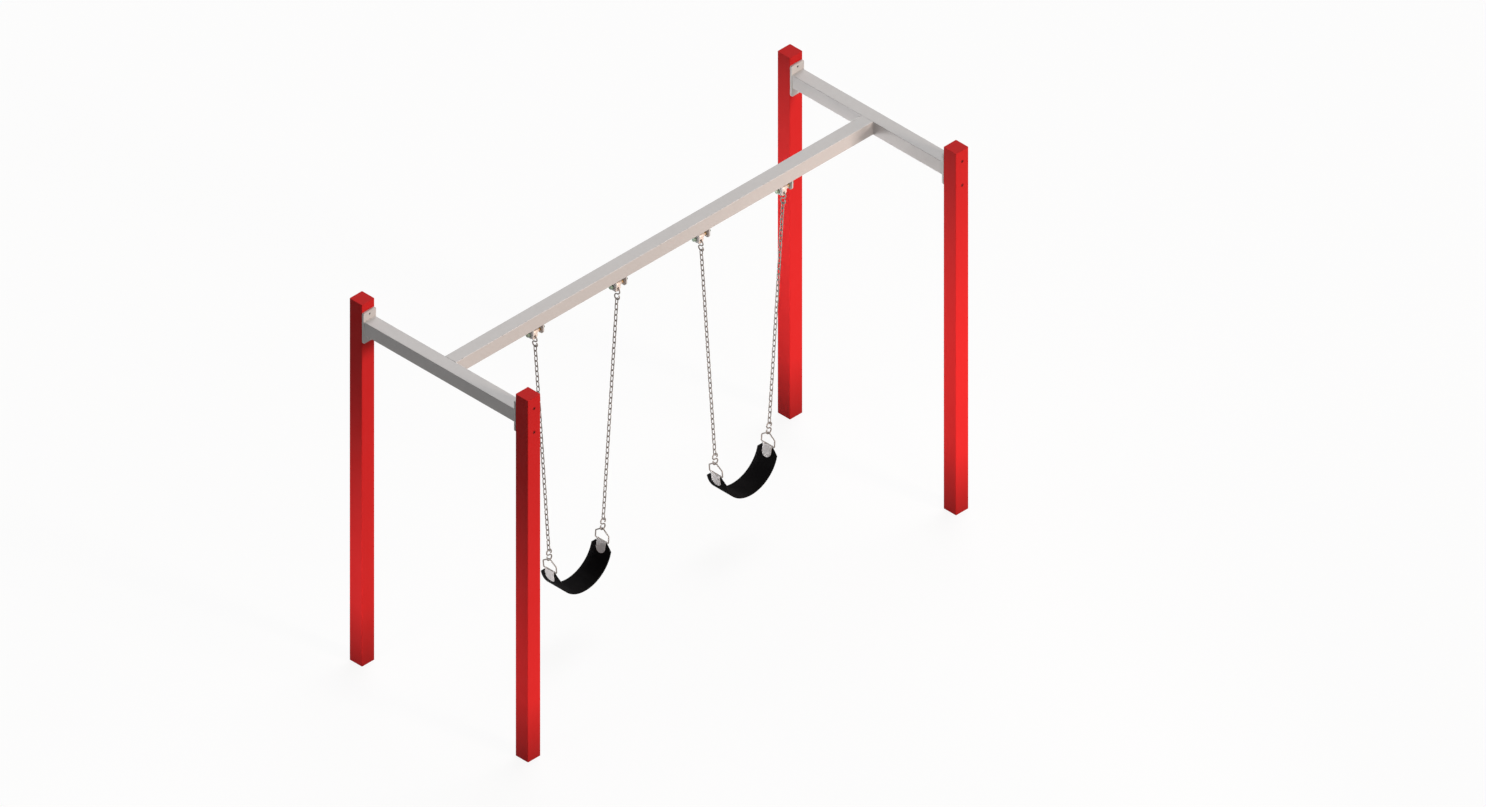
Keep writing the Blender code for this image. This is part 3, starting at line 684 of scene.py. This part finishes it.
def paint(node, material):
    """Gives a frame node its surface."""
    nodes[node].data.materials.clear()
    nodes[node].data.materials.append(material)


def dress_frame():
    """Red posts and caps, and galvanised rails and beam."""
    for corner in CORNERS:
        paint("post_" + corner, MATERIALS["red"])
        paint("post_cap_" + corner, MATERIALS["red"])
    for side in SIDES:
        paint("end_rail_" + side, MATERIALS["tube"])
    paint("main_beam", MATERIALS["tube"])


def weld_beads():
    """A bead round each rail at its end plates, a quarter of its width sunk into the plate."""
    height = middle_of("main_beam").z
    corners = rectangle(TUBE_SIZE, -TUBE_SIZE / 2, TUBE_SIZE / 2)
    outline = fillet(corners, [TUBE_CORNER] * 4, TUBE_CORNER_STEPS)
    for side in SIDES:
        node = "end_rail_" + side
        x = middle_of(f"post_{side}_front").x
        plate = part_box(node)[1].y - PLATE_THICK
        for name, end in (("front", -1), ("rear", 1)):
            y = end * (plate - WELD_BEAD / 4)
            path = [(x + u, y, height + v) for u, v in outline]
            bead = wire(f"weld_{side}_{name}", [path], WELD_BEAD, True)
            finish_piece(bead, MATERIALS["weld"], node)


def rail_bolts():
    """Countersunk bolts in the posts, painted over, with an open hex socket."""
    shank = RAIL_BOLT / 2
    under = -RAIL_BOLT_HEAD_THICK
    bolts = [f"rail_bolt_{corner}_{level}" for corner in CORNERS for level in ("lower", "upper")]
    for node in bolts:
        low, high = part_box(node)
        length = high.y - low.y
        outwards = 1 if "rear" in node else -1
        face = middle_of(node)
        face.y = high.y if outwards > 0 else low.y
        place = axes(face, X, Z * -outwards, Y * outwards)
        outline = [circle(RAIL_BOLT_HEAD / 2), hexagon(RAIL_BOLT_SOCKET)]
        head = sheet_metal(node + "_head", outline, RAIL_BOLT_HEAD_THICK, RAIL_BOLT_EDGE)
        head.data.transform(Matrix.Translation((0, 0, under / 2)))
        finish_piece(put(head, place), MATERIALS["red"], node, node)
        profile = [
            (0, under),
            (RAIL_BOLT_HEAD / 2 - RAIL_BOLT_CONE, under - HAIR),
            (shank, -POST_WALL - RAIL_BOLT_CHAMFER),
            (shank, RAIL_BOLT_CHAMFER - length),
            (shank - RAIL_BOLT_CHAMFER, -length),
            (0, -length),
        ]
        bolt = turned(node + "_shank", profile)
        # The shank is near-black: painted shade in the socket and at the bolt's end.
        finish_piece(put(bolt, place), MATERIALS["dark"], node, node)


def beam_screws():
    """Screws up into the spigots, with a round-edged head and a socket below the beam."""
    shank = SCREW / 2
    head = SCREW_HEAD / 2
    for side in SIDES:
        node = "beam_screw_" + side
        low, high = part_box(node)
        seat = middle_of(node)
        seat.z = low.z + SCREW_HEAD_THICK
        tip = high.z - seat.z
        profile = [
            (0, tip),
            (shank - SCREW_TIP[0], tip),
            (shank, tip - SCREW_TIP[1]),
            (shank, 0),
            (head - SCREW_HEAD_EDGE, 0),
            (head, -SCREW_HEAD_EDGE),
        ]
        profile += [(head - inward, down - SCREW_HEAD_THICK) for inward, down in SCREW_HEAD_ROUND]
        profile += [(radius, depth - SCREW_HEAD_THICK) for radius, depth in SCREW_SOCKET]
        screw = turned(node + "_fine", profile)
        finish_piece(put(screw, Matrix.Translation(seat)), MATERIALS["green"], node, node)


# Hangers.


def bracket(number, place):
    """A channel under the beam: a web and two lugs with rounded corners and a pin hole."""
    node = f"hanger_bracket_{number}"
    web_top = -GAP
    radii = [LUG_CORNER, LUG_CORNER, WEB_CORNER, WEB_CORNER]
    shape = fillet(rectangle(LUG_WIDTH, -LUG_DROP, web_top), radii, LUG_CORNER_STEPS)
    hole = circle(PIN / 2 + GAP, HOLE_STEPS, (0, place["pivot"] - place["top"]))
    parts = []
    for side in (-1, 1):
        lug = sheet_metal(f"{node}_lug", [shape, hole], LUG_OUTER - LUG_INNER, BRACKET_EDGE)
        x = place["x"] + side * (LUG_INNER + LUG_OUTER) / 2
        parts.append(put(lug, axes(Vector((x, 0, place["top"])), Y, Z, X)))
    outline = rectangle(2 * LUG_OUTER, -LUG_WIDTH / 2, LUG_WIDTH / 2)
    web = sheet_metal(f"{node}_web", [outline], WEB_THICK, BRACKET_EDGE)
    web_middle = place["top"] + web_top - WEB_THICK / 2
    parts.append(put(web, Matrix.Translation((place["x"], 0, web_middle))))
    finish_piece(join(node + "_fine", parts), MATERIALS["tube"], node, node)


def pin_parts(number, place):
    """A hex bolt through the lugs, with a washer under its head and one under its nut."""
    node = f"hanger_bolt_{number}"
    at = place["pin"]
    near = LUG_OUTER + GAP
    far = near + WASHER_THICK
    end = far + NUT_THICK + PIN_TAIL
    radius = PIN / 2
    thread_start = far + NUT_THICK - THREAD_IN_NUT
    profile = thread_profile(radius, thread_start, end)
    profile += [(radius, thread_start), (radius, -far), (0, -far)]
    shank = turned(f"{node}_shank", profile)
    head = hexagon_prism(f"{node}_head", -far - HEAD_THICK, -far + HEAD_SINK)
    bolt = join(f"{node}_bolt", [put(shank, at), put(head, at)], SMOOTH_PIN)
    finish_piece(bolt, MATERIALS["green"], node, node)
    nut = hexagon_prism(f"{node}_nut", far, far + NUT_THICK)
    finish_piece(put(nut, at), MATERIALS["blue"], node, node)
    for name, low, colour in (("near", -far, "green"), ("far", near, "blue")):
        ring = turned(f"{node}_washer_{name}", washer_profile(low), closed=True)
        finish_piece(put(ring, at), MATERIALS[colour], node, node)


def washer_profile(low):
    """Half the section of a washer that starts at a height, with its outer edges broken."""
    high = low + WASHER_THICK
    bore = PIN / 2 + HAIR
    rim = WASHER_SIZE / 2
    return [
        (bore, high),
        (rim - WASHER_EDGE, high),
        (rim, high - WASHER_EDGE),
        (rim, low + WASHER_EDGE),
        (rim - WASHER_EDGE, low),
        (bore, low),
    ]


def thread_profile(radius, start, end):
    """Rings of thread from the end of a bolt back to the start of its plain shank."""
    root = radius - THREAD_DEPTH
    points = [(0, end), (root, end)]
    for i in range(int((end - start) / THREAD_PITCH)):
        top = end - i * THREAD_PITCH
        crest = top - THREAD_PITCH / 2
        points += [(radius, crest), (radius, crest - THREAD_CREST), (root, top - THREAD_PITCH)]
    return points


def swivel(number, place):
    """A barrel that turns on a bush, with a plate and an eye below."""
    node = f"hanger_swivel_{number}"
    low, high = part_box(node)
    left = low.x - place["x"]
    right = high.x - place["x"]
    body = BARREL_SIZE / 2
    bore = BUSH_SIZE / 2 + GAP
    third = BARREL_EDGE / 3
    profile = [
        (bore, right),
        (body - BARREL_EDGE, right),
        (body - third, right - third),
        (body, right - BARREL_EDGE),
        (body, left + BARREL_EDGE),
        (body - third, left + third),
        (body - BARREL_EDGE, left),
        (bore, left),
    ]
    barrel = put(turned(node + "_barrel", profile, closed=True), place["pin"])
    half = SWIVEL_WIDTH / 2
    bottom = -EYE_DROP - half
    top = SWIVEL_LAP - math.sqrt(body**2 - (SWIVEL_THICK / 2) ** 2)
    radii = [half - HAIR, half - HAIR, 0, 0]
    shape = fillet(rectangle(SWIVEL_WIDTH, bottom, top), radii, SWIVEL_END_STEPS)
    eye = circle(EYE_SIZE / 2, HOLE_STEPS, (0, -EYE_DROP))
    plate = sheet_metal(node + "_plate", [shape, eye], SWIVEL_THICK, SWIVEL_EDGE)
    put(plate, axes(Vector((place["x"], 0, place["pivot"])), X, Z, -Y))
    finish_piece(join(node + "_fine", [barrel, plate]), MATERIALS["swivel"], node, node)


def bush(number, place):
    """A bronze sleeve on the pin, with a thick flange beside the swivel."""
    node = f"hanger_bush_{number}"
    hole = PIN / 2 + GAP
    sleeve = BUSH_SIZE / 2
    flange = BUSH_FLANGE / 2
    end = LUG_INNER - GAP
    step = end - BUSH_FLANGE_THICK
    profile = [
        (hole, end),
        (flange - BUSH_EDGE, end),
        (flange, end - BUSH_EDGE),
        (flange, step + BUSH_EDGE),
        (flange - BUSH_EDGE, step),
        (sleeve, step),
        (sleeve, -end),
        (hole, -end),
    ]
    piece = put(turned(node + "_fine", profile, closed=True), place["pin"])
    finish_piece(piece, MATERIALS["bronze"], node, node)


def hangers():
    """Each hanger's four pieces, at its middle, the beam's underside and the line of its pin."""
    pivots = {joint["child"]: joint["pos_m"][2] for joint in frame["joints"]}
    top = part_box("main_beam")[0].z
    for number in HANGERS:
        x = middle_of(f"hanger_bracket_{number}").x
        pivot = pivots[body_with(f"hanger_swivel_{number}")]
        pin = axes(Vector((x, 0, pivot)), -Z, Y, X)
        place = {"x": x, "top": top, "pivot": pivot, "pin": pin}
        bracket(number, place)
        pin_parts(number, place)
        swivel(number, place)
        bush(number, place)


# What hangs: hooks, chains and rings.


def hook_path():
    """A hook's wire round its middle, in its own XZ plane: two loops of nearly a full turn."""
    radius = HOOK_LOOP / 2
    quarter = math.pi / 2
    upper = arc((0, radius), radius, 3 * quarter - HOOK_SWEEP, 3 * quarter, HOOK_STEPS)
    lower = arc((0, -radius), radius, quarter, quarter - HOOK_SWEEP, HOOK_STEPS)
    return [(w, 0, h) for w, h in upper + lower[1:]]


def hooks():
    """A hook above each chain, and one below it that is square to the first."""
    for number in HANGERS:
        up, across, upper, lower = hang_line(number)
        node = f"upper_hook_{number}"
        hook = wire(node + "_fine", [hook_path()], HOOK_WIRE, False)
        finish_piece(put(hook, axes(upper, Y, -across, up)), MATERIALS["wire"], node, node)
        node = f"lower_hook_{number}"
        hook = wire(node + "_fine", [hook_path()], HOOK_WIRE, False)
        finish_piece(put(hook, axes(lower, across, Y, up)), MATERIALS["wire"], node, node)


def link_path(index):
    """A link with straight sides and round ends, turned a quarter from its neighbours."""
    side = (LINK_WIDTH - LINK_WIRE) / 2
    straight = (LINK_PITCH + LINK_WIRE) / 2 - side
    points = arc((0, straight), side, 0, math.pi, LINK_STEPS)
    points += arc((0, -straight), side, math.pi, 2 * math.pi, LINK_STEPS)
    middle = ((LINK_COUNT - 1) / 2 - index) * LINK_PITCH
    if index % 2:
        return [(0, w, h + middle) for w, h in points]
    return [(w, 0, h + middle) for w, h in points]


def chains():
    """A chain of links between the two hooks of each hanger."""
    links = [link_path(i) for i in range(LINK_COUNT)]
    for number in HANGERS:
        up, across, upper, lower = hang_line(number)
        node = f"chain_{number}"
        chain = wire(node + "_links", links, LINK_WIRE, True)
        put(chain, axes((upper + lower) / 2, across, Y, up))
        finish_piece(chain, MATERIALS["wire"], node, node)


def ring_points():
    """The ring's centre line across and up from its bar, anticlockwise."""
    half = (RING_WIDTH - RING_WIRE) / 2
    peak = RING_HEIGHT - RING_TOP_RADIUS + RING_TOP_RADIUS / math.cos(RING_SLOPE)
    shoulder = peak - half * math.tan(RING_SLOPE)
    corners = [(-half, 0), (half, 0), (half, shoulder), (0, peak), (-half, shoulder)]
    radii = [RING_CORNER, RING_CORNER, RING_CORNER, RING_TOP_RADIUS, RING_CORNER]
    return fillet(corners, radii, RING_CORNER_STEPS)


def rings():
    """A triangular ring in each lower hook, with its bar below."""
    path = [(0, w, h) for w, h in ring_points()]
    for number in HANGERS:
        up, across, _, lower = hang_line(number)
        bar = lower - up * (HOOK_LOOP + RING_HEIGHT - RING_TOP_RADIUS)
        node = f"seat_ring_{number}"
        ring = wire(node + "_fine", [path], RING_WIRE, True)
        finish_piece(put(ring, axes(bar, across, Y, up)), MATERIALS["wire"], node, node)


# Seats.


def skin(name, rows, thickness, edge, open_rows=(), open_columns=()):
    """A curved sheet through rows of points, thick to both sides, with rounded edges.

    Its faces in both the open rows and the open columns are left out, as a window.
    """
    mesh = bpy.data.meshes.new(name)
    count = len(rows[0])
    points = [point for row in rows for point in row]
    faces = [
        (r * count + c, r * count + c + 1, (r + 1) * count + c + 1, (r + 1) * count + c)
        for r in range(len(rows) - 1)
        for c in range(count - 1)
        if not (r in open_rows and c in open_columns)
    ]
    mesh.from_pydata(points, [], faces)
    item = shown(bpy.data.objects.new(name, mesh))
    thick = item.modifiers.new("thickness", "SOLIDIFY")
    thick.thickness = thickness
    thick.offset = 0
    thick.use_even_offset = True
    bevel = item.modifiers.new("edges", "BEVEL")
    bevel.width = edge
    bevel.segments = SKIN_EDGE_STEPS
    bevel.limit_method = "ANGLE"
    bevel.angle_limit = math.radians(SKIN_EDGE_ANGLE)
    return as_mesh(item, SMOOTH_SKIN)


def seat_centre(side):
    """The middle of the line between the ring bars, round which the belt bends."""
    low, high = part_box("seat_belt_" + side)
    return Vector(((low.x + high.x) / 2, 0, low.z + SEAT_RADIUS + BELT_THICK / 2))


def belts():
    """A half circle of belt with its ends cut back at the corners."""
    end = math.asin(BELT_END_DROP / SEAT_RADIUS)
    corner = (BELT_WIDTH - BELT_END_WIDTH) / 2
    shoulder = math.asin((BELT_END_DROP + corner) / SEAT_RADIUS)
    cut = [end + (shoulder - end) * i / BELT_CORNER_ROWS for i in range(BELT_CORNER_ROWS)]
    middle = math.pi - 2 * shoulder
    angles = cut + [shoulder + middle * i / BELT_ROWS for i in range(BELT_ROWS + 1)]
    angles += [math.pi - angle for angle in reversed(cut)]
    shares = [2 * c / BELT_COLUMNS - 1 for c in range(BELT_COLUMNS + 1)]
    for side in SIDES:
        node = "seat_belt_" + side
        centre = seat_centre(side)
        rows = []
        for angle in angles:
            depth = SEAT_RADIUS * math.sin(angle)
            half = min(BELT_WIDTH / 2, BELT_END_WIDTH / 2 + depth - BELT_END_DROP)
            x = centre.x + SEAT_RADIUS * math.cos(angle)
            rows.append([(x, half * share, centre.z - depth) for share in shares])
        belt = skin(node + "_fine", rows, BELT_THICK, BELT_EDGE)
        finish_piece(belt, MATERIALS["rubber"], node, node)


def clamp_path(centre, side):
    """The folded strap's middle line, as (point, distance down from the bar) for each row.

    The rows run up the outside from the round end, over the bar, and down the inside.
    """
    off = BELT_THICK / 2 + GAP + CLAMP_THICK / 2
    downs = [CLAMP_LENGTH / SEAT_RADIUS * i / CLAMP_ROWS for i in range(CLAMP_ROWS + 1)]

    def leg(radius, angles):
        spots = [Vector((side * radius * math.cos(a), 0, -radius * math.sin(a))) for a in angles]
        return list(zip(spots, [a * SEAT_RADIUS for a in angles]))

    start = math.asin(WINDOW_FLOOR / off)
    turns = [start + (math.pi - 2 * start) * i / FOLD_ROWS for i in range(FOLD_ROWS + 1)]
    bend = [(SEAT_RADIUS + off * math.cos(t), off * math.sin(t)) for t in turns]
    fold = [(Vector((side * reach, 0, rise)), 0) for reach, rise in bend]
    path = leg(SEAT_RADIUS + off, downs[::-1]) + fold + leg(SEAT_RADIUS - off, downs)
    return [(centre + spot, along) for spot, along in path]


def clamps():
    """Straps folded over the ring bars, with round ends, a window and low rivet heads."""
    window = WINDOW_WIDTH / CLAMP_WIDTH
    tab = (1 + window) / 2
    panes = [window * (2 * c / WINDOW_COLUMNS - 1) for c in range(WINDOW_COLUMNS + 1)]
    shares = [-1, -tab] + panes + [tab, 1]
    fold = range(CLAMP_ROWS + 1, CLAMP_ROWS + 1 + FOLD_ROWS)
    open_columns = range(2, 2 + WINDOW_COLUMNS)
    half = CLAMP_WIDTH / 2
    for number in HANGERS:
        node = f"seat_clamp_{number}"
        centre = seat_centre("left" if number in LEFT_HANGERS else "right")
        side = -1 if number % 2 else 1
        rows = []
        for spot, along in clamp_path(centre, side):
            over = max(0.0, along - (CLAMP_LENGTH - half))
            width = math.sqrt(max(half**2 - over**2, (CLAMP_TIP_WIDTH / 2) ** 2))
            rows.append([(spot.x, width * share, spot.z) for share in shares])
        strap = skin(node + "_fine", rows, CLAMP_THICK, CLAMP_EDGE, fold, open_columns)
        finish_piece(strap, MATERIALS["clamp"], node, node)
        rivets(node, centre, side)


def rivet_profile():
    """Half a low dome on the strap's face, measured out from the belt's middle."""
    face = BELT_THICK / 2 + GAP + CLAMP_THICK
    head = RIVET_HEAD / 2
    turns = [math.pi / 2 * i / DOME_STEPS for i in range(DOME_STEPS + 1)]
    dome = [(head * math.sin(t), face - HEAD_SINK + RIVET_HEIGHT * math.cos(t)) for t in turns]
    return dome + [(head, face - RIVET_ROOT), (0, face - RIVET_ROOT)]


def rivets(node, centre, side):
    """Two rivets near the bar and one near the round end, with heads on both faces."""
    near, far = RIVET_ROWS
    items = []
    for along, across in ((near, -RIVET_SPREAD / 2), (near, RIVET_SPREAD / 2), (far, 0)):
        angle = along / SEAT_RADIUS
        out = Vector((side * math.cos(angle), 0, -math.sin(angle)))
        spot = centre + out * SEAT_RADIUS + Y * across
        for normal in (-out, out):
            rivet = turned(f"{node}_rivet", rivet_profile(), steps=RIVET_STEPS)
            items.append(put(rivet, axes(spot, Y.cross(normal), Y, normal)))
    piece = join(f"{node}_rivets", items, SMOOTH_SKIN)
    finish_piece(piece, MATERIALS["clamp"], node, node)


# Floor, light and camera.


def grey(level):
    return (level, level, level, 1)


def shader_node(tree, kind, **values):
    node = tree.nodes.new(kind)
    for socket, value in values.items():
        node.inputs[socket].default_value = value
    return node


def seen_directly(tree):
    """One for rays from the camera and for reflections, and nought for light on its way."""
    path = tree.nodes.new("ShaderNodeLightPath")
    value = path.outputs["Is Camera Ray"]
    for kind in ("Is Glossy Ray", "Is Transmission Ray"):
        larger = tree.nodes.new("ShaderNodeMath")
        larger.operation = "MAXIMUM"
        tree.links.new(value, larger.inputs[0])
        tree.links.new(path.outputs[kind], larger.inputs[1])
        value = larger.outputs["Value"]
    return value


def mixed(tree, amount, first, second):
    """Mixes two shaders by a number or by another node's value."""
    mix = tree.nodes.new("ShaderNodeMixShader")
    if isinstance(amount, float):
        mix.inputs["Fac"].default_value = amount
    else:
        tree.links.new(amount, mix.inputs["Fac"])
    tree.links.new(first.outputs[0], mix.inputs[1])
    tree.links.new(second.outputs[0], mix.inputs[2])
    return mix


def floor():
    """A white floor that keeps soft shadows and throws little light back up."""
    bpy.ops.mesh.primitive_plane_add(size=FLOOR_SIZE, location=(0, 0, FLOOR_HEIGHT))
    ground = bpy.context.object
    ground.name = "floor"
    material = bpy.data.materials.new("floor_white")
    material.use_nodes = True
    tree = material.node_tree
    tree.nodes.clear()
    output = tree.nodes.new("ShaderNodeOutputMaterial")
    plain = shader_node(tree, "ShaderNodeBsdfDiffuse", Color=grey(FLOOR_PAINT))
    dull = shader_node(tree, "ShaderNodeBsdfDiffuse", Color=grey(FLOOR_BOUNCE))
    white = shader_node(tree, "ShaderNodeEmission", Strength=1.0)
    look = mixed(tree, FLOOR_WHITE, plain, white)
    both = mixed(tree, seen_directly(tree), dull, look)
    tree.links.new(both.outputs[0], output.inputs["Surface"])
    ground.data.materials.append(material)


def world():
    """White behind the object, and a faint even light all round it."""
    studio = bpy.data.worlds.new("studio")
    bpy.context.scene.world = studio
    studio.use_nodes = True
    tree = studio.node_tree
    tree.nodes.clear()
    output = tree.nodes.new("ShaderNodeOutputWorld")
    ambient = shader_node(tree, "ShaderNodeBackground", Color=grey(1), Strength=AMBIENT)
    white = shader_node(tree, "ShaderNodeBackground", Color=grey(1), Strength=1.0)
    both = mixed(tree, seen_directly(tree), ambient, white)
    tree.links.new(both.outputs[0], output.inputs["Surface"])


def lamp(kind, name, location, target, power, colour):
    """A light that is aimed at a target."""
    light = bpy.data.lights.new(name, kind)
    light.energy = power
    light.color = colour
    item = shown(bpy.data.objects.new(name, light))
    item.location = location
    aim = Vector(target) - Vector(location)
    item.rotation_euler = aim.to_track_quat("-Z", "Y").to_euler()
    return light


def lights():
    """Two suns, and soft boxes with a grid that keeps their light within a cone."""
    for name, (place, width, power, colour) in SUNS.items():
        sun = lamp("SUN", name, place, (0, 0, 0), power, colour)
        sun.angle = math.radians(width)
    for name, (place, aim, size, spread, power, colour) in SOFT_BOXES.items():
        box = lamp("AREA", name, place, aim, power, colour)
        box.shape = "SQUARE"
        box.size = size
        box.spread = math.radians(spread)


def camera():
    """A parallel view along the photo's own angle."""
    data = bpy.data.cameras.new("camera")
    data.type = "ORTHO"
    data.ortho_scale = PICTURE_WIDTH * PIXEL
    data.clip_end = VIEW_REACH
    item = shown(bpy.data.objects.new("camera", data))
    level = math.cos(VIEW_RISE)
    back = Vector((math.sin(VIEW_TURN) * level, -math.cos(VIEW_TURN) * level, math.sin(VIEW_RISE)))
    item.location = VIEW_CENTRE + back * VIEW_DISTANCE
    item.rotation_euler = (-back).to_track_quat("-Z", "Y").to_euler()
    bpy.context.scene.camera = item


def main():
    dress_frame()
    weld_beads()
    rail_bolts()
    beam_screws()
    hangers()
    hooks()
    chains()
    rings()
    belts()
    clamps()
    floor()
    world()
    lights()
    camera()
    bpy.context.scene.view_settings.view_transform = "Standard"


main()
